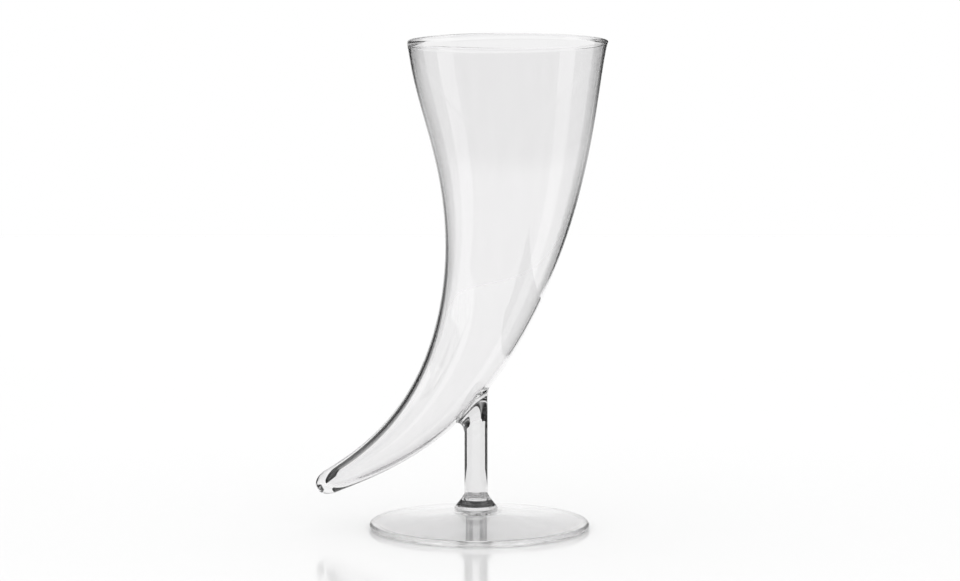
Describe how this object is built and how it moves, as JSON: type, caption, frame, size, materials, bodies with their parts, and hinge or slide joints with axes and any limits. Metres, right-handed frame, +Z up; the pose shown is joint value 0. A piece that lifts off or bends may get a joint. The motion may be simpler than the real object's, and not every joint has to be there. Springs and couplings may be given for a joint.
{
  "type": "horn glass",
  "caption": "Clear glass drinking horn with a curved, closed tip, carried by a short solid rod stem on a round, shallow foot.",
  "frame": {"origin": "on the surface that the glass stands on, under the middle of the glass's box", "axes": "+Z up out of the rim's mouth, -X towards the horn's tip, +Y square to the horn's plane of symmetry"},
  "size_m": [0.111, 0.084, 0.1847],
  "materials": {
    "clear_glass": "polished"
  },
  "bodies": {
    "root": {"horn_bowl": "clear_glass", "saddle_weld": "clear_glass", "stem_rod": "clear_glass", "foot_collar": "clear_glass", "foot_disc": "clear_glass"}
  },
  "joints": []
}
